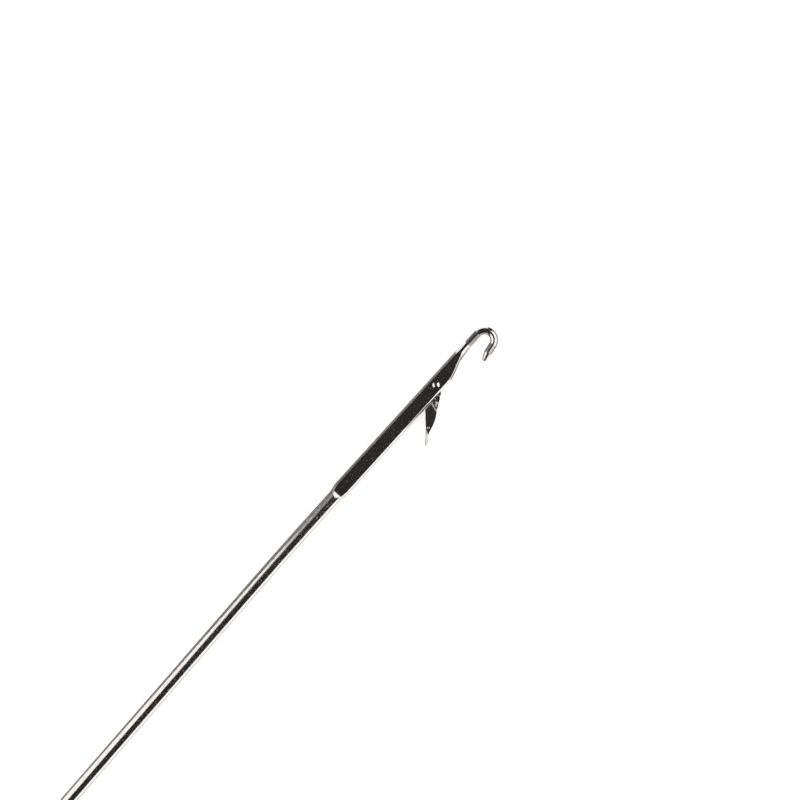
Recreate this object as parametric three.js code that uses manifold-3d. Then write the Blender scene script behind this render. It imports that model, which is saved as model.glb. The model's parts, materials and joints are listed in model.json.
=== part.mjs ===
// Loop turner: a hooked steel wire for turning narrow fabric tubes right side out.
// The tool is one drawn wire, worked into a finger ring, a shank, a pressed flat blade and a
// hook. A small latch swings on a rivet in a slot through the blade, and closes the hook.
// Millimetres. The tool lies flat on the table: X runs from the ring to the hook, Z is up,
// and the hook and the latch are on the side towards -Y.
import * as THREE from "three";
import { mergeVertices } from "three/addons/utils/BufferGeometryUtils.js";
import Module from "manifold-3d";

const wasm = await Module();
wasm.setup();

// Sizes of the whole tool
const overallLength = 265; // outside of the ring to the outside of the hook's bend
const wireDiameter = 2; // the drawn wire of the ring and the shank

// Sizes of the finger ring
const ringOuterDiameter = 25;
const ringNeckRadius = 3; // the bend, on its centreline, that leads from the shank into the ring
const ringEndGap = 0.4; // between the cut end of the wire and the bend that it closes on

// The shank ends in a slight set towards the hook
const setDegrees = 1.3;
const setLength = 20;

// Sizes of the blade, which is the wire pressed flat between dies
const bladeWidth = 2.5;
const bladeThickness = 1.45;
const bladeSideRadius = 0.96; // of the swollen edge that the press leaves at back and front
const shoulderToRivet = 22.75;
const shoulderLength = 1.9; // over which the wire widens
const dieRampLength = 0.7; // over which it thins
const rivetToTaper = 1.75; // the blade keeps its full width up to here
const taperLength = 4.5; // over which its front draws in
const taperedWidth = 1.42;
const rivetToNeck = 5.7; // from here the flats run out into the hook's round wire
const neckLength = 2.1;

// Sizes of the hook
const hookWireDiameter = 1.1;
const hookBackInset = 0.125; // the hook's back lies this far in from the blade's back
const rivetToHookBend = 9.85;
const hookBendRadius = 1.53; // on the centreline
const hookTurnDegrees = 170.7;
const hookLegLength = 1.5; // from the end of the bend to the start of the tip
const hookLegDiameter = 1.06; // where the tip begins
const hookTipLength = 1.27;
const hookTipDiameter = 0.42;
const hookTipLeanDegrees = 8; // the tip is ground more from its inner side, and leans outwards

// Sizes of the latch: a thin tongue in the slot, a thicker leaf outside it and a hollowed spoon
const latchOpenDegrees = 145.8; // from the blade's own direction, as it rests open
const tongueThickness = 0.52;
const leafThickness = 0.9;
const leafRamp = 0.2; // over which the tongue thickens into the leaf
const latchEyeRadius = 0.85;
const neckCrown = 1.1; // rivet to the fullest point of the neck's front edge
const neckFront = 0.93;
const neckBack = 0.62;
const leafStart = 3.8; // rivet to the fullest point of the leaf's front edge
const leafFront = 0.71;
const leafBack = 1.13; // at the corner that meets the blade when the latch is open
const spoonLength = 1.8;
const spoonThickness = 0.46;
const spoonWidth = 1.1;
const spoonOverhang = 1.08; // how far the spoon reaches past the middle of the hook's tip
const cupLength = 1.3;
const cupWidth = 0.72;
const cupDepth = 0.12;
const dimpleDiameter = 0.42; // the punch mark on the leaf's upper face
const dimpleDepth = 0.07;
const dimpleToSpoon = 0.95;

// Sizes of the rivet
const rivetDiameter = 0.8;
const rivetHeadDiameter = 1.06;
const rivetHeadDepth = 0.14; // of the countersink in each cheek
const rivetDomeHeight = 0.09;

// Clearances
const slotSideClearance = 0.05; // tongue to cheek
const slotFloorClearance = 0.1; // tongue to the floor of the slot
const stopClearance = 0.04; // leaf to cheek at each end of the swing
const tipClearance = 0.08; // cup to the hook's tip when closed
const pivotClearance = 0.04; // latch eye to rivet
const seatClearance = 0.02; // rivet to cheek

// The slot is cut by a round saw
const sawRadius = 7;

// How finely round forms are faceted
const sidePoints = 13; // points down each side of a wire, between its flats at top and bottom
const ringStepDegrees = 6;
const bendStepDegrees = 9;
const sawSides = 120;
const rivetSides = 28;
const domeSteps = 4;
const tipSteps = 4;
const outlineSteps = 8; // along each curve of the latch's outline
const contourSteps = 16; // along the blade's outline where the latch is relieved for it
const spoonSides = 16;
const spoonSteps = 12;

const degrees = THREE.MathUtils.degToRad;
const mix = THREE.MathUtils.lerp;
const share = (value, from, length) => THREE.MathUtils.clamp((value - from) / length, 0, 1);
const smooth = (part) => THREE.MathUtils.smoothstep(part, 0, 1);

// A closed three.js geometry as a manifold solid.
function solidOf(geometry) {
  const plain = geometry.index ? geometry.toNonIndexed() : geometry.clone();
  for (const name of ["normal", "uv"]) plain.deleteAttribute(name);
  const merged = mergeVertices(plain, 1e-5);
  return new wasm.Manifold(
    new wasm.Mesh({
      numProp: 3,
      vertProperties: merged.attributes.position.array,
      triVerts: new Uint32Array(merged.index.array),
    }),
  );
}

// A manifold solid as a three.js geometry.
function geometryOf(solid) {
  const mesh = solid.getMesh();
  const positions = new Float32Array(mesh.numVert * 3);
  for (let i = 0; i < mesh.numVert; i++)
    positions.set(mesh.vertProperties.subarray(i * mesh.numProp, i * mesh.numProp + 3), i * 3);
  const geometry = new THREE.BufferGeometry()
    .setAttribute("position", new THREE.BufferAttribute(positions, 3))
    .setIndex(new THREE.BufferAttribute(mesh.triVerts, 1))
    .toNonIndexed();
  geometry.computeVertexNormals();
  return geometry;
}

// A closed surface through rings of points, one ring for each section, with flat ends. Seen from
// behind, looking the way the rings follow each other, each ring runs counter-clockwise.
function loft(rings) {
  const sides = rings[0].length;
  const last = (rings.length - 1) * sides;
  const indices = [];
  for (let ring = 0; ring < last; ring += sides)
    for (let side = 0; side < sides; side++) {
      const a = ring + side;
      const b = ring + ((side + 1) % sides);
      indices.push(a, b + sides, b, a, a + sides, b + sides);
    }
  for (let side = 1; side + 1 < sides; side++) {
    indices.push(0, side, side + 1);
    indices.push(last, last + side + 1, last + side);
  }
  return new THREE.BufferGeometry().setFromPoints(rings.flat()).setIndex(indices);
}

// A section of the wire: an arc at the back and another at the front, with flats between them
// where the wire is squeezed. x is across to the left of its heading, y is up.
function pressedSection(back, front, thickness, sideRadius) {
  const lift = Math.asin(thickness / 2 / sideRadius);
  const backSide = Array.from({ length: sidePoints }, (_, i) => {
    const turn = lift * (1 - (2 * i) / (sidePoints - 1));
    return new THREE.Vector2(back - sideRadius * (1 - Math.cos(turn)), sideRadius * Math.sin(turn));
  });
  const frontSide = backSide.map((p) => new THREE.Vector2(front + back - p.x, -p.y));
  return [...backSide, ...frontSide];
}

// Round wire is drawn with one narrow facet above and one below, and lies on the lower one.
const facetTurn = Math.PI / (2 * sidePoints);
const arcRadius = (radius) => radius / Math.cos(facetTurn);

function roundSection(radius) {
  return pressedSection(radius, -radius, 2 * radius, arcRadius(radius));
}

// A section set square to the heading of a flat centreline.
function placed(section, point, heading) {
  const across = new THREE.Vector2(-Math.sin(heading), Math.cos(heading));
  return section.map((p) => new THREE.Vector3(point.x + p.x * across.x, point.y + p.x * across.y, p.y));
}

function polar(length, angle) {
  return new THREE.Vector2(length * Math.cos(angle), length * Math.sin(angle));
}

// Points and headings along an arc that leaves a point and turns left, or right where the turn is
// negative.
function arcFrom(start, heading, radius, turn, step) {
  const side = Math.sign(turn);
  const centre = start.clone().add(polar(side * radius, heading + Math.PI / 2));
  const steps = Math.ceil(Math.abs(turn) / step);
  return Array.from({ length: steps + 1 }, (_, i) => {
    const now = heading + (turn * i) / steps;
    return { point: centre.clone().sub(polar(side * radius, now + Math.PI / 2)), heading: now };
  });
}

const wireRadius = wireDiameter / 2;
const hookRadius = hookWireDiameter / 2;
const hookOffset = bladeWidth / 2 - hookBackInset - hookRadius;
const setAngle = -degrees(setDegrees);
const origin = new THREE.Vector2();

// The hook's centreline in the blade's own frame, which has the rivet at its origin
const bendStart = new THREE.Vector2(rivetToHookBend, hookOffset);
const bend = arcFrom(bendStart, 0, hookBendRadius, -degrees(hookTurnDegrees), degrees(bendStepDegrees));
const bendEnd = bend.at(-1);
const legHeading = bendEnd.heading;
const legEnd = bendEnd.point.clone().add(polar(hookLegLength, legHeading));
const tipRadius = hookTipDiameter / 2;
const tipHeading = legHeading + degrees(hookTipLeanDegrees);
const tipCentre = legEnd.clone().add(polar(hookTipLength - tipRadius, tipHeading));

// The latch closes until its cup is a clearance away from the hook's tip
const tipLift = tipRadius + tipClearance - cupDepth;
const latchClosedAngle = 2 * Math.PI - tipCentre.angle() + Math.asin(tipLift / tipCentre.length());
const latchOpenAngle = degrees(latchOpenDegrees);
const latchLength = tipCentre.length() + spoonOverhang;
const leafEnd = latchLength - spoonLength;

// Where the shank, its set and the blade lie on the table
const bendCentre = new THREE.Vector2(rivetToHookBend, hookOffset - hookBendRadius);
const hookReach = bendCentre.rotateAround(origin, setAngle).x + hookBendRadius + hookRadius;
const rivetX = overallLength / 2 - hookReach;
const shoulderX = rivetX - shoulderToRivet * Math.cos(setAngle);
const setRadius = setLength / Math.abs(setAngle);
const setStart = new THREE.Vector2(shoulderX - setRadius * Math.sin(Math.abs(setAngle)), 0);
const setPath = arcFrom(setStart, 0, setRadius, setAngle, Math.abs(setAngle) / 4);
const rivetPoint = setPath.at(-1).point.clone().add(polar(shoulderToRivet, setAngle));

// Where the ring lies: its neck bends off the shank's axis and meets the ring from outside
const ringRadius = ringOuterDiameter / 2 - wireRadius;
const ringCentreX = ringOuterDiameter / 2 - overallLength / 2;
const neckReach = Math.sqrt(ringRadius ** 2 + 2 * ringRadius * ringNeckRadius);
const neckStart = new THREE.Vector2(ringCentreX + neckReach, 0);
const neckTurn = Math.PI / 2 - Math.atan2(ringNeckRadius, neckReach);

function fingerRing() {
  const round = roundSection(wireRadius);
  const step = degrees(ringStepDegrees);
  const neck = arcFrom(neckStart, Math.PI, ringNeckRadius, -neckTurn, step);
  // The cut end of the wire stops short of the neck's outer side by the gap
  const toNeckCentre = Math.hypot(neckReach, ringNeckRadius);
  const outer = ringRadius + wireRadius;
  const clear = ringNeckRadius + wireRadius + ringEndGap;
  const left = Math.acos((toNeckCentre ** 2 + outer ** 2 - clear ** 2) / (2 * toNeckCentre * outer));
  const { point, heading } = neck.at(-1);
  const loop = arcFrom(point, heading, ringRadius, 2 * Math.PI - left, step);
  return loft([...neck, ...loop.slice(1)].map((at) => placed(round, at.point, at.heading)));
}

function shank() {
  const round = roundSection(wireRadius);
  const path = [{ point: neckStart, heading: 0 }, ...setPath];
  return loft(path.map((at) => placed(round, at.point, at.heading)));
}

// The blade's back and front edges at a distance from the rivet: the shank's round wire widens
// at the shoulder, its front tapers past the rivet, and both edges end at the hook's wire.
function bladeEdges(x) {
  const half = mix(wireRadius, bladeWidth / 2, smooth(share(x, -shoulderToRivet, shoulderLength)));
  const taper = smooth(share(x, rivetToTaper, taperLength));
  const neck = smooth(share(x, rivetToNeck, neckLength));
  return {
    back: mix(half, hookOffset + hookRadius, neck),
    front: mix(mix(-half, bladeWidth / 2 - taperedWidth, taper), hookOffset - hookRadius, neck),
  };
}

function bladeSection(x) {
  const { back, front } = bladeEdges(x);
  const pressed = share(x, -shoulderToRivet, dieRampLength);
  const neck = share(x, rivetToNeck, neckLength);
  const thickness = mix(mix(wireDiameter, bladeThickness, pressed), hookWireDiameter, neck);
  const sideRadius = mix(arcRadius(wireRadius), bladeSideRadius, pressed);
  return pressedSection(back, front, thickness, mix(sideRadius, arcRadius(hookRadius), neck));
}

// The saw cuts just past the latch's eye at the rivet, and past the corner of its tongue where
// the open latch leaves the blade.
function sawCentre() {
  const corner = leafCorner().rotateAround(origin, -latchOpenAngle);
  const fromRivet = sawRadius - latchEyeRadius - slotFloorClearance;
  const fromCorner = sawRadius - slotFloorClearance;
  const apart = corner.length();
  const along = (fromRivet ** 2 - fromCorner ** 2 + apart ** 2) / (2 * apart);
  const aside = Math.sqrt(fromRivet ** 2 - along ** 2);
  return polar(along, corner.angle()).add(polar(aside, corner.angle() + Math.PI / 2));
}

// The corner of the leaf's back that lies against the blade when the latch is open, in the
// latch's own frame, which has the rivet at its origin and the tip along X.
function leafCorner() {
  const normal = latchOpenAngle - Math.PI / 2;
  const reach = bladeWidth / 2 + stopClearance + leafBack * Math.sin(normal);
  return new THREE.Vector2(reach / Math.cos(normal), -leafBack);
}

// Half of the rivet's outline, from the axis over one domed head, down its countersink and shaft
// and over the other head.
function rivetOutline(clearance) {
  const head = rivetHeadDiameter / 2 + clearance;
  const shaft = rivetDiameter / 2 + clearance;
  const face = bladeThickness / 2;
  const dome = rivetDomeHeight + clearance;
  const upper = Array.from({ length: domeSteps }, (_, i) => {
    const out = Math.sin((i * Math.PI) / 2 / domeSteps);
    return new THREE.Vector2(head * out, face + dome * Math.sqrt(1 - out ** 2));
  });
  upper.push(new THREE.Vector2(head, face), new THREE.Vector2(shaft, face - rivetHeadDepth));
  const lower = upper.map((p) => new THREE.Vector2(p.x, -p.y));
  return [...lower, ...upper.reverse()];
}

function rivet(clearance) {
  return new THREE.LatheGeometry(rivetOutline(clearance), rivetSides).rotateX(Math.PI / 2);
}

function blade() {
  const stations = [];
  const stretch = (from, to, steps) => {
    for (let i = 0; i < steps; i++) stations.push(mix(from, to, i / steps));
  };
  const rampEnd = dieRampLength - shoulderToRivet;
  const shoulderEnd = shoulderLength - shoulderToRivet;
  const neckEnd = rivetToNeck + neckLength;
  stretch(-shoulderToRivet, rampEnd, 4);
  stretch(rampEnd, shoulderEnd, 4);
  stretch(shoulderEnd, rivetToTaper, 1);
  stretch(rivetToTaper, rivetToNeck, 9);
  stretch(rivetToNeck, neckEnd, 7);
  stations.push(neckEnd);
  const body = solidOf(loft(stations.map((x) => placed(bladeSection(x), new THREE.Vector2(x, 0), 0))));
  const centre = sawCentre();
  const slotWidth = tongueThickness + 2 * slotSideClearance;
  const saw = new THREE.CylinderGeometry(sawRadius, sawRadius, slotWidth, sawSides)
    .rotateX(Math.PI / 2)
    .translate(centre.x, centre.y, 0);
  return geometryOf(body.subtract(solidOf(saw)).subtract(solidOf(rivet(seatClearance))));
}

function hook() {
  const rings = [];
  const add = (radius, point, heading) => rings.push(placed(roundSection(radius), point, heading));
  add(hookRadius, new THREE.Vector2(rivetToNeck + neckLength, hookOffset), 0);
  for (const at of bend) add(hookRadius, at.point, at.heading);
  add(hookLegDiameter / 2, legEnd, legHeading);
  // The tip tapers, and its end is rounded over
  for (let i = 0; i <= tipSteps; i++) {
    const turn = (i / (tipSteps + 0.5)) * (Math.PI / 2);
    const point = tipCentre.clone().add(polar(tipRadius * Math.sin(turn), tipHeading));
    add(tipRadius * Math.cos(turn), point, tipHeading);
  }
  return loft(rings);
}

// The latch seen flat, with the front that meets the hook up.
function latchOutline() {
  const frontTurn = degrees(95); // where the neck's front edge leaves the round eye
  const backTurn = degrees(-82);
  const eyeFront = polar(latchEyeRadius, frontTurn);
  const corner = leafCorner();
  const backAt = (along, down) =>
    new THREE.Vector2(mix(corner.x, leafEnd, along), -mix(leafBack, spoonThickness, down));
  const frontAt = (along, down) =>
    new THREE.Vector2(mix(leafStart, leafEnd, along), mix(leafFront, -spoonThickness * 0.15, down));
  const root = leafEnd + spoonLength / 4; // the leaf runs a little way into the spoon
  const shape = new THREE.Shape();
  shape.moveTo(eyeFront.x, eyeFront.y);
  shape.absarc(0, 0, latchEyeRadius, frontTurn, backTurn + 2 * Math.PI, false);
  shape.splineThru([
    new THREE.Vector2(mix(0, corner.x, 0.45), -neckBack),
    new THREE.Vector2(mix(0, corner.x, 0.8), -mix(neckBack, leafBack, 0.45)),
    corner,
  ]);
  shape.splineThru([backAt(0.12, 0.2), backAt(0.5, 0.52), backAt(0.8, 0.8), backAt(1, 1)]);
  shape.lineTo(root, -spoonThickness * 0.65);
  shape.lineTo(root, -spoonThickness * 0.35);
  shape.lineTo(frontAt(1, 1).x, frontAt(1, 1).y);
  shape.splineThru([
    frontAt(0.82, 0.72),
    frontAt(0.6, 0.37),
    frontAt(0.34, 0.1),
    frontAt(0, 0),
    new THREE.Vector2(neckCrown, neckFront),
    eyeFront,
  ]);
  return shape;
}

// What is cut from both faces of the latch to leave the tongue, so that the leaf clears the cheeks
// when the latch lies at an angle: the blade's own outline, with a clearance and a sloping side.
function cheekReliefs(angle) {
  const reach = rivetToNeck;
  const contour = Array.from({ length: contourSteps + 1 }, (_, i) =>
    mix(reach, -latchLength, i / contourSteps),
  );
  const ring = (z, clearance) => [
    new THREE.Vector3(-latchLength, latchLength, z),
    new THREE.Vector3(reach, latchLength, z),
    ...contour.map((x) => new THREE.Vector3(x, bladeEdges(x).front - clearance, z)),
  ];
  const levels = [
    [tongueThickness / 2, stopClearance],
    [leafThickness / 2, stopClearance + leafRamp],
    [leafThickness, stopClearance + leafRamp],
  ];
  const upper = levels.map(([z, clearance]) => ring(z, clearance));
  const lower = levels.map(([z, clearance]) => ring(-z, clearance)).reverse();
  return [upper, lower].map((rings) => solidOf(loft(rings).rotateZ(angle)));
}

// The spoon's boat-shaped body, across the latch, before it is hollowed.
function boat() {
  const start = leafEnd - spoonLength / 2;
  const rings = Array.from({ length: spoonSteps + 1 }, (_, i) => {
    const along = i / spoonSteps;
    const grown = smooth(along * 1.6);
    const closing = Math.sqrt(1 - 0.98 * share(along, 0.75, 0.25) ** 2);
    const halfWidth = mix(leafThickness / 2 - 0.05, spoonWidth / 2, grown) * closing;
    const halfThickness = mix(spoonThickness * 0.6, spoonThickness / 2, grown) * mix(0.4, 1, closing);
    return Array.from({ length: spoonSides }, (_, k) => {
      const turn = (k * 2 * Math.PI) / spoonSides;
      return new THREE.Vector3(
        mix(start, latchLength, along),
        halfThickness * Math.sin(turn) - spoonThickness / 2,
        halfWidth * Math.cos(turn),
      );
    });
  });
  return loft(rings);
}

function latch() {
  let body = solidOf(
    new THREE.ExtrudeGeometry(latchOutline(), {
      depth: leafThickness,
      bevelEnabled: false,
      curveSegments: outlineSteps,
    }).translate(0, 0, -leafThickness / 2),
  );
  for (const angle of [latchOpenAngle, latchClosedAngle])
    for (const relief of cheekReliefs(angle)) body = body.subtract(relief);
  const eyeRadius = rivetDiameter / 2 + pivotClearance;
  const eye = new THREE.CylinderGeometry(eyeRadius, eyeRadius, leafThickness, rivetSides);
  const cup = new THREE.SphereGeometry(0.5, 20, 12)
    .scale(cupLength, 2 * cupDepth, cupWidth)
    .translate(tipCentre.length(), 0, 0);
  const dimpleRadius = (dimpleDiameter ** 2 / 4 + dimpleDepth ** 2) / (2 * dimpleDepth);
  const dimple = new THREE.SphereGeometry(dimpleRadius, 32, 24)
    .translate(leafEnd - dimpleToSpoon, -spoonThickness / 2, leafThickness / 2 + dimpleRadius - dimpleDepth);
  return geometryOf(
    body
      .subtract(solidOf(eye.rotateX(Math.PI / 2)))
      .add(solidOf(boat()))
      .subtract(solidOf(cup))
      .subtract(solidOf(dimple)),
  );
}

function nickel(color, roughness) {
  return new THREE.MeshStandardMaterial({ color, roughness, metalness: 1 });
}

function node(name, geometry, material) {
  const mesh = new THREE.Mesh(geometry, material);
  mesh.name = name;
  return mesh;
}

const wireFinish = nickel(0xc9c5bd, 0.16);
const latchFinish = nickel(0xbdb9b2, 0.22);
const rivetFinish = nickel(0xd4d0c8, 0.2);

const swing = new THREE.Group();
swing.rotation.z = -latchOpenAngle;
swing.add(node("latch", latch(), latchFinish));

const head = new THREE.Group();
head.position.set(rivetPoint.x, rivetPoint.y, 0);
head.rotation.z = setAngle;
head.add(node("blade", blade(), wireFinish));
head.add(node("hook", hook(), wireFinish));
head.add(node("latch_rivet", rivet(0), rivetFinish));
head.add(swing);

const loopTurner = new THREE.Group();
loopTurner.position.z = wireRadius;
loopTurner.add(node("finger_ring", fingerRing(), wireFinish));
loopTurner.add(node("shank", shank(), wireFinish));
loopTurner.add(head);

export default loopTurner;
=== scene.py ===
# %% [markdown]
# # A loop turner in bright nickel
#
# A loop turner pulls a narrow sewn tube of cloth right side out. It is one steel wire with a
# finger ring at one end and a latched hook at the other. The photograph looks straight down on
# the hook end, on a pure white ground.
#
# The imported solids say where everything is. This lesson makes finer meshes of the same pieces,
# with the hook, the latch and the rivet's heads drawn a little closer to the photograph than the
# solids have them. It gives each a nickel finish, and sets up the light that draws the bright and
# dark stripes. On polished metal these stripes are the picture: the eye sees the room and not the
# colour.

import json
import math

import bpy
from mathutils import Matrix, Vector
from mathutils.kdtree import KDTree


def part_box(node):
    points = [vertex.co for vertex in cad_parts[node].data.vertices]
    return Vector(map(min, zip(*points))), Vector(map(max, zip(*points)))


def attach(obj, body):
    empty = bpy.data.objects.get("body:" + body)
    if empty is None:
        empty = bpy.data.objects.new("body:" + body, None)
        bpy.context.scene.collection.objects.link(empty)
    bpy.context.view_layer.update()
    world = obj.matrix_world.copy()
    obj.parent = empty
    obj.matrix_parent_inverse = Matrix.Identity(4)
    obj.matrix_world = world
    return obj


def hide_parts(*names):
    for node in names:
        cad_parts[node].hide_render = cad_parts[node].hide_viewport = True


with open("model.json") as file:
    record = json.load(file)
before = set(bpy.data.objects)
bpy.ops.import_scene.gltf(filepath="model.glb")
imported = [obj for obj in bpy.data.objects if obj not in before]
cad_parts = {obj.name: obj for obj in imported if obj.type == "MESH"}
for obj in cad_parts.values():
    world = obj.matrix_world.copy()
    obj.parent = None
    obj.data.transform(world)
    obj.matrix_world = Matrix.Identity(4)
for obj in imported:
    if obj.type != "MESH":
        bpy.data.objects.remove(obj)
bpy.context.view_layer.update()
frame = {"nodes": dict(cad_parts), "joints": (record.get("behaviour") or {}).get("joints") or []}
scene = bpy.context.scene
MM = 0.001
print("solids:", ", ".join(sorted(frame["nodes"])))

# %% [markdown]
# ## Where the head is
#
# The latch turns on its rivet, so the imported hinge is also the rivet's place, to a few hundredths
# of a millimetre. The last 20 mm of the shank bend by a degree or so, which turns the whole head
# towards the hook's side. All forms of the head are worked out in the head's own frame, with the
# rivet at its origin, X along the blade and the hook on the side of -Y. One matrix then puts them
# in place.

# %% Find the head
hinge = frame["joints"][0]
rivet_point = Vector(hinge["pos_m"])
set_turn = math.radians(-1.3)
head = Matrix.Translation(rivet_point) @ Matrix.Rotation(set_turn, 4, "Z")
wire_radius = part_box("shank")[1].z / 2
print(f"rivet at {rivet_point.x / MM:.2f}, {rivet_point.y / MM:.2f} mm; wire {2 * wire_radius / MM:.2f} mm")

# %% [markdown]
# ## A few sums that the forms share
#
# A wire that is bent flat on a table is a line of points with headings, so every bend below is
# one call of the same arc. The pressed forms ease in and out, which a smooth step describes.

# %% Helpers for lines and arcs
def mix(a, b, part):
    return a + (b - a) * part


def share(value, start, length):
    return min(max((value - start) / length, 0.0), 1.0)


def ease(part):
    return part * part * (3 - 2 * part)


def polar(length, angle):
    return Vector((length * math.cos(angle), length * math.sin(angle)))


def arc_from(start, heading, radius, turn, step):
    """Points and headings along an arc that turns left, or right where the turn is negative."""
    side = math.copysign(1, turn)
    centre = start + polar(side * radius, heading + math.pi / 2)
    steps = math.ceil(abs(turn) / step)
    headings = [heading + turn * i / steps for i in range(steps + 1)]
    return [(centre - polar(side * radius, now + math.pi / 2), now) for now in headings]


quarter = arc_from(Vector((0, 0)), 0, 1, math.pi / 2, math.radians(10))
print("a quarter turn ends at", [round(x, 3) for x in quarter[-1][0]])

# %% [markdown]
# ## The wire's section
#
# The tool is one drawn wire, round where it is left alone and pressed between flat dies at the
# blade. Pressing makes flats above and below and swells the two sides, which stay round. One
# function makes both: the round wire is the case where the flats have shrunk to a sliver.
#
# The points are spread evenly by the way they face and not by distance. So the small rounded
# edge between a flat and a side gets as many points as it needs, and the same points run from
# one end of the wire to the other.

# %% Make a section
side_steps = 30
facet_turn = math.pi / 2 / (side_steps + 1)
edge_radius = 0.03 * MM


def side_of_section(thickness, side_radius, edge=edge_radius):
    """Points down one side, from the upper flat to the lower, with the fullest point at x = 0."""
    rounding = min(edge, thickness / 5)
    rise = thickness / 2 - rounding
    edge_in = math.sqrt((side_radius - rounding) ** 2 - rise**2)
    edge_turn = math.atan2(rise, edge_in)
    side = []
    for step in range(side_steps + 1):
        turn = (math.pi / 2 - facet_turn) * (1 - 2 * step / side_steps)
        x, y, radius = 0, 0, side_radius
        if abs(turn) > edge_turn:
            x, y, radius = edge_in, math.copysign(rise, turn), rounding
        side.append((x - side_radius + radius * math.cos(turn), y + radius * math.sin(turn)))
    return side


def wire_section(back, front, thickness, back_radius, front_radius=None, front_edge=edge_radius):
    """Points down the back and up the front: x is across, to the left of the heading, y is up."""
    back_side = side_of_section(thickness, back_radius)
    front_side = side_of_section(thickness, front_radius or back_radius, front_edge)
    return [(back + x, y) for x, y in back_side] + [(front - x, -y) for x, y in front_side]


def arc_radius(radius):
    """The narrow facets above and below a round wire lie on its true height."""
    return radius / math.cos(facet_turn)


def round_section(radius):
    return wire_section(radius, -radius, 2 * radius, arc_radius(radius))


print(len(round_section(wire_radius)), "points round the wire")

# %% [markdown]
# ## The finger ring
#
# The maker bends the wire off the shank's axis round a small peg, then back round a large one,
# and cuts it just before it closes. Both bends are arcs that touch. Walking from the shank to
# the cut end gives the path, and turning it round makes the tool start at its cut end. The cut
# is not left raw on a tool for fine cloth, so its rim is rounded over.

# %% Lay out the finger ring
overall_length = 265 * MM
ring_outer_radius = 12.5 * MM
ring_neck_radius = 3 * MM
ring_end_gap = 0.4 * MM
bend_step = math.radians(2)

ring_radius = ring_outer_radius - wire_radius
ring_centre = Vector((ring_outer_radius - overall_length / 2, 0))
neck_reach = math.sqrt(ring_radius**2 + 2 * ring_radius * ring_neck_radius)
neck_start = ring_centre + Vector((neck_reach, 0))


def ring_path():
    """Points and headings from the ring's cut end to the shank."""
    neck_turn = math.pi / 2 - math.atan2(ring_neck_radius, neck_reach)
    neck = arc_from(neck_start, math.pi, ring_neck_radius, -neck_turn, bend_step)
    apart = math.hypot(neck_reach, ring_neck_radius)
    clear = ring_neck_radius + wire_radius + ring_end_gap
    left = math.acos((apart**2 + ring_outer_radius**2 - clear**2) / (2 * apart * ring_outer_radius))
    loop = arc_from(*neck[-1], ring_radius, 2 * math.pi - left, bend_step)
    return [(point, heading + math.pi) for point, heading in reversed(neck + loop[1:])]


print(len(ring_path()), "points along the ring and its neck")

# %% [markdown]
# ## The blade
#
# A blade this long is pressed in one stroke. The wire grows wider over a couple of millimetres
# and thinner over less than one, because the die has a steeper edge than the metal's own flow.
# That short ramp catches the light as a crescent. Past the rivet the front is filed in, which
# rounds its edges, and then half-round. The flats run out where the wire becomes the hook.

# %% Work out the blade's section
blade_width = 2.5 * MM
blade_thickness = 1.45 * MM
blade_side_radius = 0.96 * MM
shoulder_to_rivet = 22.75 * MM
shoulder_length = 1.9 * MM
die_ramp_length = 0.7 * MM
rivet_to_taper = 1.75 * MM
taper_length = 4.5 * MM
tapered_width = 1.42 * MM
rivet_to_neck = 5.7 * MM
neck_length = 2.1 * MM
rivet_to_filing = 5.1 * MM
filing_length = 1.3 * MM
filed_edge_radius = 0.16 * MM
hook_radius = 0.59 * MM
hook_back_inset = 0.09 * MM
hook_offset = blade_width / 2 - hook_back_inset - hook_radius
hook_start = rivet_to_neck + neck_length


def blade_edges(x):
    """The blade's back and front edges at a distance from the rivet."""
    half = mix(wire_radius, blade_width / 2, ease(share(x, -shoulder_to_rivet, shoulder_length)))
    taper = ease(share(x, rivet_to_taper, taper_length))
    neck = share(x, rivet_to_neck, neck_length)
    front = mix(-half, blade_width / 2 - tapered_width, taper)
    back = mix(half, hook_offset + hook_radius, neck)
    return back, mix(front, hook_offset - hook_radius, ease(neck))


def blade_section(x):
    back, front = blade_edges(x)
    pressed = share(x, -shoulder_to_rivet, die_ramp_length)
    neck = share(x, rivet_to_neck, neck_length)
    thickness = mix(mix(2 * wire_radius, blade_thickness, pressed), 2 * hook_radius, neck)
    swollen = mix(arc_radius(wire_radius), blade_side_radius, pressed)
    back_radius = mix(swollen, arc_radius(hook_radius), neck)
    filed = ease(share(x, rivet_to_filing, filing_length))
    front_radius = mix(back_radius, arc_radius(thickness / 2), filed)
    front_edge = mix(edge_radius, filed_edge_radius, ease(share(x, rivet_to_taper, filing_length)))
    return wire_section(back, front, thickness, back_radius, front_radius, front_edge)


def spread(start, end, steps):
    return [mix(start, end, step / steps) for step in range(steps)]


blade_stations = [
    *spread(-shoulder_to_rivet, die_ramp_length - shoulder_to_rivet, 10),
    *spread(die_ramp_length - shoulder_to_rivet, shoulder_length - shoulder_to_rivet, 8),
    *spread(shoulder_length - shoulder_to_rivet, rivet_to_taper, 4),
    *spread(rivet_to_taper, rivet_to_neck, 20),
    *spread(rivet_to_neck, hook_start, 14),
]
print(len(blade_stations), "sections along the blade")

# %% [markdown]
# ## The hook
#
# The hook is bent round a peg through almost half a turn. Its leg then runs straight for a
# millimetre and a half, and is ground to a blunt tip that leans outwards. The crease where the
# grinding starts shows as a sharp change of light, so two sections sit close to each side of it.

# %% Lay out the hook
rivet_to_bend = 9.94 * MM
hook_bend_radius = 1.43 * MM
hook_turn = math.radians(-170.7)
hook_leg_length = 1.42 * MM
hook_leg_radius = 0.57 * MM
hook_tip_length = 1.55 * MM
hook_tip_radius = 0.3 * MM
hook_tip_lean = math.radians(7)
crease = 0.03 * MM
tip_steps = 8

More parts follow.
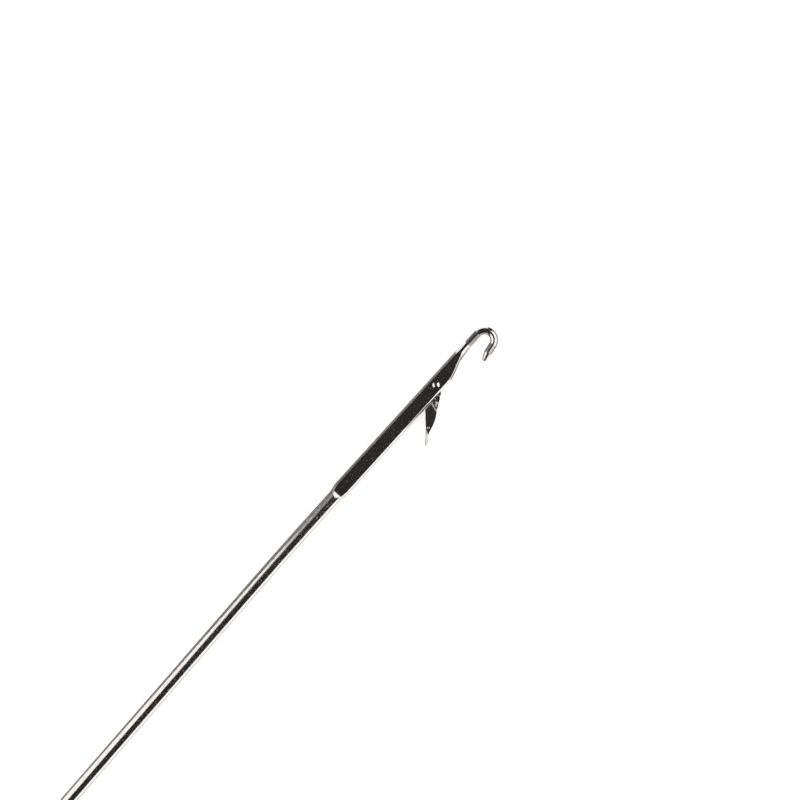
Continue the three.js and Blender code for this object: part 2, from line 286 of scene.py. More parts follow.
hook_bend = arc_from(Vector((rivet_to_bend, hook_offset)), 0, hook_bend_radius, hook_turn, bend_step)
bend_end, leg_heading = hook_bend[-1]
leg_end = bend_end + polar(hook_leg_length, leg_heading)
tip_heading = leg_heading + hook_tip_lean
tip_length = hook_tip_length - hook_tip_radius
tip_centre = leg_end + polar(tip_length, tip_heading)


def hook_stations():
    """Points, headings and radii from the hook's shank to its tip, in the head's frame."""
    stations = [(Vector((hook_start, hook_offset)), 0, hook_radius)]
    stations += [(point, heading, hook_radius) for point, heading in hook_bend]
    for before in (3 * crease, crease):
        part = 1 - before / hook_leg_length
        radius = mix(hook_radius, hook_leg_radius, part)
        stations.append((bend_end.lerp(leg_end, part), leg_heading, radius))
    for past in (crease, 3 * crease):
        part = past / tip_length
        radius = mix(hook_leg_radius, hook_tip_radius, part)
        stations.append((leg_end.lerp(tip_centre, part), tip_heading, radius))
    for step in range(tip_steps + 1):
        turn = step / (tip_steps + 0.5) * math.pi / 2
        end = tip_centre + polar(hook_tip_radius * math.sin(turn), tip_heading)
        stations.append((end, tip_heading, hook_tip_radius * math.cos(turn)))
    return stations


print(f"the tip is {tip_centre.length / MM:.2f} mm from the rivet")

# %% [markdown]
# ## One wire from end to end
#
# The ring, shank, blade and hook could be four meshes, as they are four solids in the packed
# model, but polished metal shows every seam. So one loft runs through all the sections.
#
# The loft also works out where each point was on the straight wire before it was bent: how far
# from the rivet, how far across and how high. A finish that reads this place has draw marks that
# follow every bend, with no unwrapping.

# %% Loft the wire
def new_piece(name, points, faces):
    mesh = bpy.data.meshes.new(name)
    mesh.from_pydata(points, [], faces)
    piece = bpy.data.objects.new(name, mesh)
    scene.collection.objects.link(piece)
    return piece


def loft(name, rings):
    """A closed mesh through rings of points, with flat ends."""
    sides = len(rings[0])
    count = sides * len(rings)
    faces = [tuple(range(sides)), tuple(range(count - 1, count - sides - 1, -1))]
    for start in range(0, count - sides, sides):
        for side in range(sides):
            a, b = start + side, start + (side + 1) % sides
            faces.append((a, a + sides, b + sides, b))
    return new_piece(name, [point for ring in rings for point in ring], faces)


def remember_places(piece, places):
    """Keeps each point's place on the straight wire, or on the flat strip, with the mesh."""
    kept = piece.data.attributes.new("place", "FLOAT_VECTOR", "POINT")
    kept.data.foreach_set("vector", [value for place in places for value in place])


cut_rim = 0.15 * MM
cut_rim_steps = 5
set_length = 20 * MM
set_steps = 6


def wire_stations():
    """Points, headings and sections from the ring's cut end to the hook's tip."""
    round_wire = round_section(wire_radius)
    ring = ring_path()
    stations = []
    start, heading = ring[0]
    for step in range(cut_rim_steps + 1):
        turn = step / cut_rim_steps * math.pi / 2
        rim = round_section(wire_radius - cut_rim * (1 - math.sin(turn)))
        stations.append((start + polar(cut_rim * (1 - math.cos(turn)), heading), heading, rim))
    shoulder = head @ Vector((-shoulder_to_rivet, 0, 0))
    set_radius = set_length / abs(set_turn)
    set_start = Vector((shoulder.x - set_radius * math.sin(abs(set_turn)), 0))
    set_bend = arc_from(set_start, 0, set_radius, set_turn, abs(set_turn) / set_steps)
    stations += [(point, now, round_wire) for point, now in ring[1:] + set_bend[:-1]]
    for x in blade_stations:
        stations.append(((head @ Vector((x, 0, 0))).xy, set_turn, blade_section(x)))
    for point, now, radius in hook_stations():
        placed = (head @ point.to_3d()).xy
        stations.append((placed, set_turn + now, round_section(radius)))
    return stations


def loft_wire(name):
    """The whole wire as one piece, and the place of each of its points."""
    stations = wire_stations()
    along = [0.0]
    for (before, *_), (after, *_) in zip(stations, stations[1:]):
        along.append(along[-1] + (after - before).length)
    first_of_hook = len(stations) - len(hook_stations())
    shift = hook_start - along[first_of_hook]
    rings, places = [], []
    for (point, heading, section), distance in zip(stations, along):
        across = Vector((-math.sin(heading), math.cos(heading)))
        rings.append([(*(point + across * x), wire_radius + y) for x, y in section])
        places += [(distance + shift, x, y) for x, y in section]
    return loft(name, rings), places


needle, wire_places = loft_wire("needle")
uncut_points = [point.co.copy() for point in needle.data.vertices]
print(f"needle: {len(needle.data.vertices)} points")

# %% [markdown]
# ## The slot and the rivet's hole
#
# On the real blade a thin round saw cuts the slot from the front, so its floor is part of a
# circle. The same disc is subtracted here. The rivet's hole is countersunk on both faces: a
# rivet turned on its axis, a little larger than the real one, is subtracted too.
#
# A Boolean modifier with the exact solver does this cleanly. Its result is read back as a plain
# mesh at once, so that the next cut starts from a mesh and not from a stack of modifiers.

# %% Cut the slot and the hole
tongue_thickness = 0.52 * MM
slot_side_clearance = 0.05 * MM
slot_floor_clearance = 0.1 * MM
saw_radius = 7 * MM
latch_open = math.radians(145.8)
latch_eye_radius = 0.85 * MM
leaf_back = 1.13 * MM
stop_clearance = 0.04 * MM
rivet_radius = 0.4 * MM
rivet_head_radius = 0.53 * MM
rivet_head_depth = 0.14 * MM
rivet_dome_height = 0.14 * MM
seat_clearance = 0.02 * MM
saw_sides = 240
hole_sides = 48
dome_steps = 12


def leaf_corner():
    """The corner of the leaf's back that lies against the blade when the latch is open."""
    normal = latch_open - math.pi / 2
    reach = blade_width / 2 + stop_clearance + leaf_back * math.sin(normal)
    return Vector((reach / math.cos(normal), -leaf_back))


def saw_centre():
    """The saw passes just outside the latch's eye and the corner of the open latch's tongue."""
    corner = leaf_corner()
    corner.rotate(Matrix.Rotation(-latch_open, 2))
    from_rivet = saw_radius - latch_eye_radius - slot_floor_clearance
    from_corner = saw_radius - slot_floor_clearance
    apart = corner.length
    along = (from_rivet**2 - from_corner**2 + apart**2) / (2 * apart)
    aside = math.sqrt(from_rivet**2 - along**2)
    direction = math.atan2(corner.y, corner.x)
    return polar(along, direction) + polar(aside, direction + math.pi / 2)


def turned(name, outline, sides):
    """Turns an outline, from its lowest point up, round the Z axis. Its ends are closed flat."""
    rings = []
    for radius, height in outline:
        turns = [-2 * math.pi * side / sides for side in range(sides)]
        rings.append([(radius * math.cos(t), radius * math.sin(t), height) for t in turns])
    return loft(name, rings)


def rivet_outline(clearance):
    head_radius = rivet_head_radius + clearance
    dome = rivet_dome_height + clearance
    dome_radius = (head_radius**2 + dome**2) / (2 * dome)
    face = blade_thickness / 2
    upper = [(rivet_radius + clearance, face - rivet_head_depth)]
    for step in range(dome_steps):
        out = head_radius * (1 - step / dome_steps)
        upper.append((out, face + dome - dome_radius + math.sqrt(dome_radius**2 - out**2)))
    return [(radius, -height) for radius, height in reversed(upper)] + upper


def combine(piece, tool, operation):
    """Subtracts a tool from a piece, or adds it, and leaves a plain mesh."""
    modifier = piece.modifiers.new("combine", "BOOLEAN")
    modifier.operation = operation
    modifier.solver = "EXACT"
    modifier.object = tool
    seen = piece.evaluated_get(bpy.context.evaluated_depsgraph_get())
    mesh = bpy.data.meshes.new_from_object(seen)
    piece.modifiers.clear()
    piece.data = mesh
    bpy.data.objects.remove(tool)


half_slot = tongue_thickness / 2 + slot_side_clearance
saw = turned("saw", [(saw_radius, -half_slot), (saw_radius, half_slot)], saw_sides)
saw.data.transform(head @ Matrix.Translation(saw_centre().to_3d()))
combine(needle, saw, "DIFFERENCE")
hole = turned("hole", rivet_outline(seat_clearance), hole_sides)
hole.data.transform(head)
combine(needle, hole, "DIFFERENCE")
print(f"needle with slot and hole: {len(needle.data.vertices)} points")

# %% [markdown]
# A Boolean makes a new mesh, and what was kept with the old points is lost, so the places are
# only written now. On the blade, where the cuts made new points, the wire is straight and the
# head's own frame gives the place. Everywhere else each point is still where it was, and a tree
# of the old points finds it again.

# %% Write each point's place
def places_after_cuts(piece):
    tree = KDTree(len(uncut_points))
    for index, point in enumerate(uncut_points):
        tree.insert(point, index)
    tree.balance()
    to_head = head.inverted()
    places = []
    for point in piece.data.vertices:
        own = to_head @ point.co
        on_blade = -shoulder_to_rivet < own.x < rivet_to_neck
        places.append(tuple(own) if on_blade else wire_places[tree.find(point.co)[1]])
    return places


def shade(piece, crease_degrees=30):
    """Smooth shading, with sharp edges where two faces meet at a clear angle."""
    piece.data.shade_smooth()
    piece.data.set_sharp_from_angle(angle=math.radians(crease_degrees))


remember_places(needle, places_after_cuts(needle))
shade(needle)
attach(needle, "needle")
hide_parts("finger_ring", "shank", "blade", "hook")
print("needle stands for the ring, the shank, the blade and the hook")

# %% [markdown]
# ## The rivet
#
# The rivet is a soft steel pin, set by hammering both ends into the countersinks. What shows is
# a low dome, brighter than the blade because its curve finds the lights on both sides. It is
# turned from half of its outline, as on a lathe.

# %% Turn the rivet
rivet_sides = 64
rivet = turned("latch_pin", rivet_outline(0), rivet_sides)
rivet.data.transform(head)
shade(rivet)
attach(rivet, "needle")
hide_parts("latch_rivet")
print(f"rivet: {2 * rivet_head_radius / MM:.2f} mm across its head")

# %% [markdown]
# ## The latch, seen flat
#
# The latch starts as a strip that is stamped to an outline: a round eye, a narrow neck, a leaf
# that is widest where it meets the blade, and a long taper to the spoon. Smooth edges of a
# stamped part are best drawn as curves through a few points, as a die maker would.

# %% Draw the latch's outline
leaf_thickness = 0.9 * MM
neck_crown = 1.1 * MM
neck_front = 0.93 * MM
neck_back = 0.62 * MM
leaf_start = 3.8 * MM
leaf_front = 0.71 * MM
spoon_length = 1.8 * MM
spoon_thickness = 0.46 * MM
spoon_width = 1.1 * MM
spoon_overhang = 1.19 * MM
latch_length = tip_centre.length + spoon_overhang
leaf_end = latch_length - spoon_length
eye_steps = 40


def curve_through(points, steps=8):
    """A smooth curve through the points, without the last of them."""
    curve = []
    for i in range(len(points) - 1):
        here, there = points[i], points[i + 1]
        leave = (there - points[max(i - 1, 0)]) / 2
        arrive = (points[min(i + 2, len(points) - 1)] - here) / 2
        for step in range(steps):
            t = step / steps
            bend = 3 * (there - here) - 2 * leave - arrive
            curve.append(here + leave * t + bend * t**2 + (2 * (here - there) + leave + arrive) * t**3)
    return curve


def latch_outline():
    front_turn = math.radians(95)
    back_turn = math.radians(-82 + 360)
    corner = leaf_corner()
    turns = [mix(front_turn, back_turn, step / eye_steps) for step in range(eye_steps + 1)]
    eye = [polar(latch_eye_radius, turn) for turn in turns]
    neck = [
        eye[-1],
        Vector((mix(0, corner.x, 0.45), -neck_back)),
        Vector((mix(0, corner.x, 0.8), -mix(neck_back, leaf_back, 0.45))),
        corner,
    ]
    back = [corner]
    for along, down in ((0.12, 0.2), (0.45, 0.47), (0.74, 0.74)):
        back.append(Vector((mix(corner.x, leaf_end, along), -mix(leaf_back, spoon_thickness, down))))
    end = [back[-1], Vector((leaf_end, -spoon_thickness * 0.3))]
    front = []
    for along, down in ((1, 1), (0.82, 0.72), (0.6, 0.37), (0.34, 0.1), (0, 0)):
        y = mix(leaf_front, -spoon_thickness * 0.15, down)
        front.append(Vector((mix(leaf_start, leaf_end, along), y)))
    front += [Vector((neck_crown, neck_front)), eye[0]]
    return eye[:-1] + curve_through(neck) + curve_through(back) + end + curve_through(front)


print(f"latch: {len(latch_outline())} points round it, {latch_length / MM:.2f} mm from eye to tip")

# %% [markdown]
# ## Tongue and leaf
#
# Only the tongue goes into the slot. It is milled down from both faces, and the leaf keeps the
# full thickness. The shoulders between them form a V, because the latch leans against the blade
# at both ends of its swing: one side of the V is the blade's edge as the open latch meets it,
# the other as the closed latch does. So each cutter is the blade's own outline with a sloping
# side, turned to that angle.

# %% Cut the latch's tongue
leaf_ramp = 0.2 * MM
tip_clearance = 0.08 * MM
cup_depth = 0.12 * MM
contour_steps = 24
tip_lift = hook_tip_radius + tip_clearance - cup_depth
tip_angle = math.atan2(tip_centre.y, tip_centre.x)
latch_closed = math.asin(tip_lift / tip_centre.length) - tip_angle


def cheek_relief(name, angle, up):
    """What is cut from one face of the latch where it passes the blade's cheek."""
    far = latch_length
    contour = [mix(rivet_to_neck, -far, step / contour_steps) for step in range(contour_steps + 1)]
    rings = []
    levels = ((tongue_thickness / 2, 0), (leaf_thickness / 2, leaf_ramp), (leaf_thickness, leaf_ramp))
    for height, slope in levels:
        edge = [(x, blade_edges(x)[1] - stop_clearance - slope) for x in contour]
        rings.append([(x, y, up * height) for x, y in [(-far, far), (rivet_to_neck, far), *edge]])
    relief = loft(name, rings if up > 0 else [ring[::-1] for ring in rings])
    relief.data.transform(Matrix.Rotation(angle, 4, "Z"))
    return relief


def strip(name):
    """The stamped strip, before anything is cut from it."""
    outline = latch_outline()
    rings = [[(p.x, p.y, side * leaf_thickness / 2) for p in outline] for side in (1, -1)]
    return loft(name, rings)


latch = strip("swinging_latch")
for angle in (latch_open, latch_closed):
    for up in (1, -1):
        combine(latch, cheek_relief("relief", angle, up), "DIFFERENCE")
print(f"the latch swings {math.degrees(latch_open - latch_closed):.1f} degrees")

# %% [markdown]
# ## The spoon, the eye and the punch mark
#
# The latch's end is forged into a small boat across the strip, hollowed where it lies on the
# hook's tip. A loft of ellipses makes the boat, and a stretched sphere hollows it. The shallow
# dimple on the leaf is a setting mark from a round punch, so a large sphere that only grazes
# the face cuts it.

# %% Finish the latch's shape
cup_length = 1.3 * MM
cup_width = 0.72 * MM
dimple_diameter = 0.42 * MM
dimple_depth = 0.07 * MM
dimple_to_spoon = 0.95 * MM
pivot_clearance = 0.04 * MM


def boat(name, sides=40, steps=28):
    """The spoon's body, across the latch, before it is hollowed."""
    rings = []
    for step in range(steps + 1):
        along = math.sin(step / steps * math.pi / 2)
        grown = ease(share(along * 1.6, 0, 1))
        closing = math.sqrt(1 - 0.98 * share(along, 0.72, 0.28) ** 2)
        half_width = mix(leaf_thickness / 2 - 0.05 * MM, spoon_width / 2, grown) * closing
        half_thickness = mix(spoon_thickness * 0.62, spoon_thickness / 2, grown) * mix(0.4, 1, closing)
        middle = -spoon_thickness * mix(0.7, 0.5, grown)
        x = mix(leaf_end - spoon_length / 2, latch_length, along)
        turns = [2 * math.pi * side / sides for side in range(sides)]
        ring = [(math.sin(t) * half_thickness + middle, math.cos(t) * half_width) for t in turns]
        rings.append([(x, y, z) for y, z in reversed(ring)])
    return loft(name, rings)


def ball(name, diameters, centre, sides=64, steps=33):
    """A sphere, stretched to three diameters."""
    turns = spread(-math.pi / 2, math.pi / 2, steps)[1:]
    tool = turned(name, [(math.cos(t) / 2, math.sin(t) / 2) for t in turns], sides)
    tool.data.transform(Matrix.Translation(centre) @ Matrix.Diagonal((*diameters, 1)))
    return tool


eye_radius = rivet_radius + pivot_clearance
eye = turned("eye", [(eye_radius, -leaf_thickness), (eye_radius, leaf_thickness)], rivet_sides)
combine(latch, eye, "DIFFERENCE")
combine(latch, boat("boat"), "UNION")
cup_place = Vector((tip_centre.length, 0, 0))
combine(latch, ball("cup", (cup_length, 2 * cup_depth, cup_width), cup_place), "DIFFERENCE")
punch = (dimple_diameter**2 / 4 + dimple_depth**2) / dimple_depth
punch_height = leaf_thickness / 2 + punch / 2 - dimple_depth
punch_place = Vector((leaf_end - dimple_to_spoon, -spoon_thickness / 2, punch_height))
combine(latch, ball("punch", (punch, punch, punch), punch_place), "DIFFERENCE")
remember_places(latch, [tuple(point.co) for point in latch.data.vertices])
latch.data.transform(head @ Matrix.Rotation(-latch_open, 4, "Z"))
shade(latch)
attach(latch, "latch")
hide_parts("latch")
print(f"latch: {len(latch.data.vertices)} points")

# %% [markdown]
# ## Shader sums in plain Python
#
# A finish is mostly sums on masks and noises. Written node by node they are hard to read, so
# one small class wraps a socket: an expression such as `1 - mask * 0.3` adds its own Math nodes.
# Every other node comes from its one method.

# %% A socket that takes part in sums
class Term:
    """A socket of a node tree. Before the first node it is only the tree."""

    def __init__(self, tree, socket=None):
        self.tree = tree
        self.socket = socket

    def node(self, kind, settings=None, inputs=None, output=0):
        """Adds a node: its settings first, then the values or links of its sockets."""
        made = self.tree.nodes.new(kind)
        for name, value in (settings or {}).items():
            setattr(made, name, value)
        for name, value in (inputs or {}).items():
            if isinstance(value, Term):
                self.tree.links.new(value.socket, made.inputs[name])
            else:
                made.inputs[name].default_value = value
        return Term(self.tree, made.outputs[output])

    def sum(self, operation, first, second):
        return self.node("ShaderNodeMath", {"operation": operation}, {0: first, 1: second})

    def __add__(self, other):
        return self.sum("ADD", self, other)

    def __sub__(self, other):
        return self.sum("SUBTRACT", self, other)

    def __rsub__(self, other):
        return self.sum("SUBTRACT", other, self)

    def __mul__(self, other):
        return self.sum("MULTIPLY", self, other)

    __radd__ = __add__
    __rmul__ = __mul__

    def step(self, start, end):
        """From 0 to 1, smoothly, as this value goes from start to end."""
        limits = {"Value": self, "From Min": start, "From Max": end}
        return self.node("ShaderNodeMapRange", {"interpolation_type": "SMOOTHSTEP"}, limits)

    def band(self, rise, fall):
        """1 between two ramps and 0 outside them. Each ramp is where it starts and where it ends."""
        return self.step(*rise) * (1 - self.step(*fall))

    def stretch(self, scale):
        """This vector times a scale for each axis."""
        return self.node("ShaderNodeVectorMath", {"operation": "MULTIPLY"}, {0: self, 1: scale})

    def noise(self, scale, detail=2.0, roughness=0.5):
        """Noise between 0 and 1 at this place."""
        inputs = {"Vector": self, "Scale": scale, "Detail": detail, "Roughness": roughness}
        return self.node("ShaderNodeTexNoise", {"normalize": True}, inputs)

    def blend(self, first, second):
        """From one colour to another, as this value goes from 0 to 1."""
        made = self.tree.nodes.new("ShaderNodeMix")
        made.data_type = "RGBA"
        self.tree.links.new(self.socket, made.inputs[0])
        for socket, colour in ((made.inputs[6], first), (made.inputs[7], second)):
            if isinstance(colour, Term):
                self.tree.links.new(colour.socket, socket)
            else:
                socket.default_value = (*colour, 1)
        return Term(self.tree, made.outputs[2])


def new_finish(name):
    """A material with a metal shader, and the place on the straight wire or flat strip."""
    material = bpy.data.materials.new(name)
    material.use_nodes = True
    tree = material.node_tree
    shader = tree.nodes["Principled BSDF"]
    shader.inputs["Metallic"].default_value = 1
    shader.inputs["Specular Tint"].default_value = (0.1, 0.1, 0.1, 1)
    place = Term(tree).node("ShaderNodeAttribute", {"attribute_name": "place"}, output="Vector")
    return material, shader, place


def feed(shader, **terms):
    for name, term in terms.items():
        term.tree.links.new(term.socket, shader.inputs[name.replace("_", " ").title()])


def bumped(height, distance):
    """The normal of a surface that rises by this height times a distance."""
    inputs = {"Height": height, "Distance": distance, "Strength": 1.0}
    return height.node("ShaderNodeBump", None, inputs)


print("shader sums are ready")

# %% [markdown]
# ## Nickel on drawn wire
#
# Nickel plate is a warm, slightly grey mirror. On drawn wire it carries fine marks that run
# along the wire, from the die it was pulled through. Noise that is stretched along the wire
# makes them, and they follow each bend because the place does. A slow noise makes the plate
# duller in patches, and a fine one leaves the faint grey specks that show on the dark face. The
# shank is more grainy than the blade, which the dies have smoothed.
#
# Just before the hook's bend a band of the wire is rougher, and the band's colour is painted
# darker, most of all on its back: painted shade. The leg's colour is darker too.

# %% Make the wire's finish
press_ramp = (-23.4 * MM, -22.4 * MM)
shaded_band_rise, shaded_band_fall = (7.4 * MM, 7.95 * MM), (9.8 * MM, 10.1 * MM)
darker_leg_rise, darker_leg_fall = (13.9 * MM, 14.3 * MM), (15.5 * MM, 15.7 * MM)
dark_nickel, light_nickel = (0.61, 0.585, 0.565), (0.64, 0.62, 0.605)
# Painted shade: the band before the hook's bend is painted darker, most of all on the wire's back.
painted_shade_front, painted_shade_back = (0.48, 0.465, 0.455), (0.16, 0.155, 0.15)
# The hook's leg is given a darker colour.
darker_leg_nickel = (0.43, 0.415, 0.405)


def wire_finish():
    material, shader, place = new_finish("bright_wire_nickel")
    along, across = [
        place.node("ShaderNodeSeparateXYZ", None, {"Vector": place}, output=axis) for axis in "XY"
    ]
    drawn = place.stretch((150, 14000, 14000)).noise(1.0, 3.0, 0.6)
    patches = place.noise(260, 2.0)
    specks = place.noise(5200, 1.0).step(0.62, 0.74)
    shaded_band = along.band(shaded_band_rise, shaded_band_fall)
    darker_leg = along.band(darker_leg_rise, darker_leg_fall)
    pressed = along.step(*press_ramp)
    grain = place.noise(3300, 2.0).step(0.5, 0.7) * (1 - pressed)
    roughness = 0.045 + patches * 0.05 + drawn * 0.03 + specks * 0.24 + shaded_band * 0.13 + grain * 0.2
    tint = patches.step(0.3, 0.7).blend(dark_nickel, light_nickel)
    # Painted shade across the band: lighter on the front of the wire, darker on its back.
    painted_shade_across = across.step(-0.35 * MM, 0.35 * MM).blend(painted_shade_front, painted_shade_back)
    colour_with_painted_shade = darker_leg.blend((shaded_band * 0.9).blend(tint, painted_shade_across), darker_leg_nickel)
    normal = bumped(drawn + specks * 0.5, 0.0006 * MM)
    feed(shader, base_color=colour_with_painted_shade, roughness=roughness, normal=normal)
    return material


needle.data.materials.append(wire_finish())
print("wire finish:", needle.data.materials[0].name)

# %% [markdown]
# ## Nickel on the latch and the rivet
#
# The latch is stamped and tumbled before it is plated, so it is a little duller and its marks
# have no direction. The milled tongue is blotched and rough, and the spoon is a rough satin: no
# flat die touches it. Both are also painted paler than nickel, a painted sheen that brightens
# what they reflect. The rivet is the brightest piece, because the hammer burnished it.

# %% Make the latch's and the rivet's finish
tongue_edge = 0.06 * MM
tongue_end = (4.2 * MM, 4.4 * MM)
dark_latch, light_latch = (0.57, 0.535, 0.525), (0.62, 0.59, 0.58)
# A painted sheen colour, paler than nickel, for the spoon and the tongue's blotches.
painted_sheen_nickel = (0.92, 0.90, 0.86)
dark_rivet, light_rivet = (0.64, 0.62, 0.59), (0.68, 0.66, 0.63)


def latch_finish():
    material, shader, place = new_finish("latch_nickel")
    along, up = [
        place.node("ShaderNodeSeparateXYZ", None, {"Vector": place}, output=axis) for axis in "XZ"
    ]
    tumbled = place.noise(3400, 2.0)
    patches = place.noise(700, 2.0)
    tongue_face = tongue_thickness / 2
    milled = 1 - up.sum("ABSOLUTE", up, 0).step(tongue_face, tongue_face + tongue_edge)
    milled = milled * (1 - along.step(*tongue_end))
    blotches_and_sheen = milled * place.noise(2300, 1.0).step(0.42, 0.54)
    satin_and_sheen = along.step(leaf_end - 0.1 * MM, leaf_end + 0.2 * MM)
    worn = blotches_and_sheen * 0.4 + satin_and_sheen * 0.3
    roughness = 0.1 + patches * 0.08 + tumbled.step(0.55, 0.75) * 0.12 + worn
    tint = patches.step(0.35, 0.65).blend(dark_latch, light_latch)
    # Painted sheen: the spoon and the tongue's blotches are painted paler than nickel, to brighten what
    # they reflect.
    colour_with_painted_sheen = (satin_and_sheen + blotches_and_sheen).blend(tint, painted_sheen_nickel)
    normal = bumped(tumbled * (0.5 + milled), 0.0012 * MM)
    feed(shader, base_color=colour_with_painted_sheen, roughness=roughness, normal=normal)
    return material


def rivet_finish():
    material, shader, _ = new_finish("rivet_nickel")
    where = Term(material.node_tree).node("ShaderNodeTexCoord", output="Object")
    dents = where.noise(2600, 1.0)
    roughness = 0.06 + dents * 0.06
    tint = dents.step(0.3, 0.7).blend(dark_rivet, light_rivet)
    feed(shader, base_color=tint, roughness=roughness, normal=bumped(dents, 0.0015 * MM))
    return material


latch.data.materials.append(latch_finish())
rivet.data.materials.append(rivet_finish())
print("finishes:", latch.data.materials[0].name, "and", rivet.data.materials[0].name)

# %% [markdown]
# ## The camera
#
# The photograph is taken from straight above with a long lens: the wire doesn't get thinner
# with distance. In it the shank rises to the right at 49 degrees. The picture is 120 mm wide,
# and only the head and a third of the shank are in it. The camera is moved until the rivet is
# where the photograph has it, counted from the picture's upper left corner.

# %% Place the camera
picture_width = 120.3 * MM
shank_rise = math.radians(49)
picture_pixels = 800
rivet_in_picture = Vector((436.0, 385.0))
lens = 210
sensor = 36

camera = bpy.data.objects.new("camera", bpy.data.cameras.new("camera"))
camera.data.lens = lens
camera.data.sensor_width = sensor
camera.data.clip_start = 0.01
camera.data.clip_end = 50
distance = picture_width * lens / sensor
from_middle = (rivet_in_picture / picture_pixels - Vector((0.5, 0.5))) * picture_width
turn = Matrix.Rotation(-shank_rise, 4, "Z")
picture_centre = rivet_point - turn @ Vector((from_middle.x, -from_middle.y, 0))
camera.matrix_world = Matrix.Translation(picture_centre + Vector((0, 0, distance))) @ turn
scene.collection.objects.link(camera)
scene.camera = camera
scene.view_settings.view_transform = "Standard"
print(f"camera {distance:.3f} m above the table")

# %% [markdown]
# ## The light boxes
#
# The rivet's dome shows one light on its left and one on its right, with darkness round the
# camera between them. Each is a big flat box that starts close to the lens and slopes down to
# the table. The left one ends just before the blade, where the bright stripe on the shank fades
# out. A third and dim one hangs behind it and shows past its edge as a rim, which softens the
# stripe's end. All are seen by the metal only, and not by the camera.
#
# A box could be an area light, but these have slanted ends, so each is a mesh of one face that
# glows.

# %% Hang the light boxes
over_rivet = Matrix.Translation(rivet_point) @ Matrix.Rotation(-shank_rise, 4, "Z")
box_colour = (1.0, 0.985, 0.97)
box_strength = 1.55
rim_strength = 0.33
box_height = 542  # where its slope starts, in millimetres over the rivet
rim_height = 560
box_slope = 1.094  # how far a box comes down for each millimetre outwards


def glow(name, strength):
    material = bpy.data.materials.new(name)
    material.use_nodes = True
    tree = material.node_tree
    tree.nodes.clear()
    light = Term(tree).node("ShaderNodeEmission", None, {"Color": (*box_colour, 1), "Strength": strength})
    out = tree.nodes.new("ShaderNodeOutputMaterial")
    tree.links.new(light.socket, out.inputs["Surface"])
    return material


def light_box(name, corners, strength):
    """A glowing face. Its corners are in millimetres over the rivet: right, up, towards the lens."""
    points = [over_rivet @ (Vector(corner) * MM) for corner in corners]
    box = new_piece(name, points, [tuple(range(len(points)))])
    box.data.materials.append(glow(name + "_glow", strength))
    box.visible_camera = False
    box.visible_shadow = False
    return box


def on_slope(height, corners):
    """Adds the height to the corners of a box, which comes down towards its outer end."""
    return [(x, y, height - box_slope * abs(x)) for x, y in corners]


left_corners = [(-165, -225), (-165, 10), (-205, 122), (-327, 226), (-560, 292), (-560, -350)]
rim_corners = [(-145, 0), (-145, 260), (-430, 480), (-430, 0)]
right_corners = [(130, -95), (130, 215), (450, 390), (450, -350)]
left_box = light_box("left_box", on_slope(box_height, left_corners), box_strength)
left_rim = light_box("left_rim", on_slope(rim_height, rim_corners), rim_strength)
right_box = light_box("right_box", on_slope(box_height, right_corners), box_strength)
print("light boxes:", left_box.name, left_rim.name, right_box.name)

# %% [markdown]
# ## The room
#
# Below the boxes the metal sees the room. It is a dull white all round, a little lighter to the
# bottom of the picture and duller towards the table, with two bright walls in it, a grey side to
# the upper left of the picture, where the wire's edge is grey, and a narrow dark gap to the upper
# right. Above all this it is dark. A world that depends on direction alone draws it, because
# walls are far away: their reflections are the same along the whole tool. The camera itself sees
# only white.
#
# A compass bearing picks out a part of the room. Bearings are counted here from the picture's
# right, so that they can be checked against the photograph, and each part fades at its two ends.

# %% Paint the room
wall_light = 1.7
dull_light = 0.66
ceiling_light = 0.035
ground_light = 1.2
grey_side_bearings = (135.6, 240)
gap_bearings = (54, 71.5)
lower_wall_bearings = (300, 323)
upper_wall_bearings = (75, 135.6)
south_bearings = (235, 325)
wall_top = (0.2, 0.33)


def bearing_of(x, y):
    """Degrees from the picture's right, counter-clockwise from 0 to 360."""
    turn = x.sum("ARCTAN2", y, x) * (180 / math.pi) + math.degrees(shank_rise) + 360
    return turn.sum("MODULO", turn, 360.0)


def between(bearing, start, end, fade):
    """1 between two bearings and 0 outside them, fading over a few degrees at each end."""
    return bearing.band((start - fade, start + fade), (end - fade, end + fade))


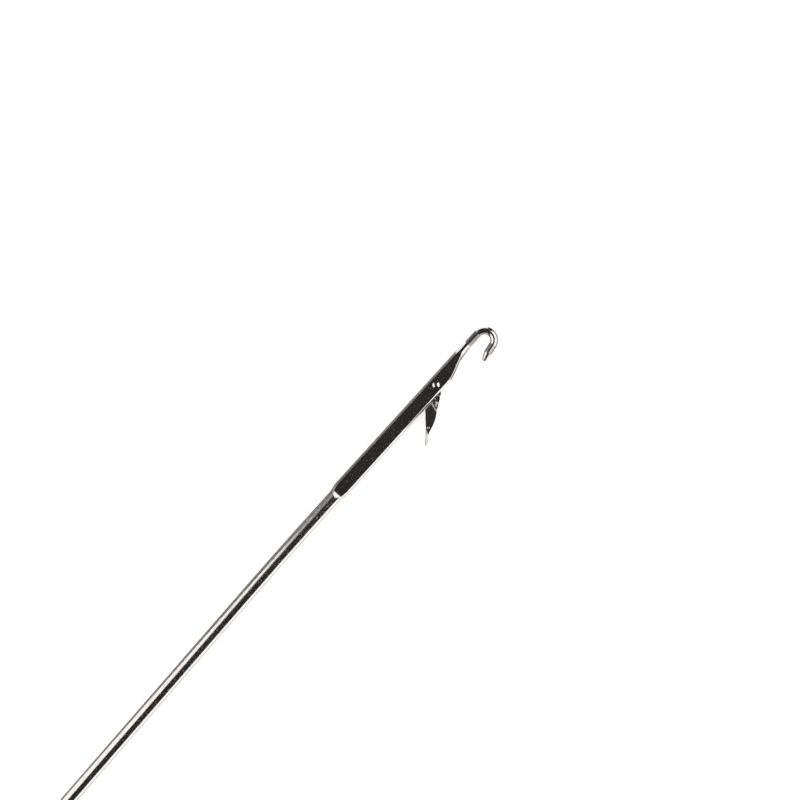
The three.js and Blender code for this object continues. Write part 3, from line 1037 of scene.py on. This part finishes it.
def room():
    world = bpy.data.worlds.new("room")
    world.use_nodes = True
    tree = world.node_tree
    tree.nodes.clear()
    start = Term(tree)
    towards = start.node("ShaderNodeTexCoord", output="Generated")
    x, y, z = [
        towards.node("ShaderNodeSeparateXYZ", None, {"Vector": towards}, output=axis) for axis in "XYZ"
    ]
    bearing = bearing_of(x, y)
    grey_side = between(bearing, *grey_side_bearings, 0.5)
    gap = between(bearing, *gap_bearings, 2)
    walls = between(bearing, *lower_wall_bearings, 2) + between(bearing, *upper_wall_bearings, 0.5)
    south = between(bearing, *south_bearings, 3)
    high = z.step(*wall_top)
    dull = dull_light + z * 0.35 + south * 0.25
    white = dull + walls * (wall_light - dull)
    grey = 0.05 + 0.3 * (1 - z.step(-0.3, 0.15))
    wall = (white + grey_side * (grey - white)) * (1 - gap * 0.95)
    light = ceiling_light + wall * (1 - high)
    seen = start.node("ShaderNodeLightPath", output="Is Camera Ray")
    strength = light + seen * (ground_light - light)
    sky = start.node("ShaderNodeBackground", None, {"Color": (1, 0.99, 0.98, 1), "Strength": strength})
    out = tree.nodes.new("ShaderNodeOutputWorld")
    tree.links.new(sky.socket, out.inputs["Surface"])
    return world


scene.world = room()
print("room:", scene.world.name)

# %% [markdown]
# ## The table
#
# The ground of the photograph is pure white, with no shadow: it is lit from within, as a light
# table is. The floor glows a little and scatters the rest, so that only a trace of shadow is left
# where the wire touches it.

# %% Lay the table
def table_finish():
    material = bpy.data.materials.new("white_table")
    material.use_nodes = True
    shader = material.node_tree.nodes["Principled BSDF"]
    shader.inputs["Base Color"].default_value = (0.8, 0.8, 0.8, 1)
    shader.inputs["Roughness"].default_value = 1
    shader.inputs["Specular IOR Level"].default_value = 0
    shader.inputs["Emission Color"].default_value = (1, 1, 1, 1)
    shader.inputs["Emission Strength"].default_value = 0.7
    return material


half_table = 20.0
corners = [(x * half_table, y * half_table, 0) for x, y in ((-1, -1), (1, -1), (1, 1), (-1, 1))]
table = new_piece("table", corners, [(0, 1, 2, 3)])
table.data.materials.append(table_finish())
table.visible_glossy = False
print("table:", 2 * half_table, "m wide")
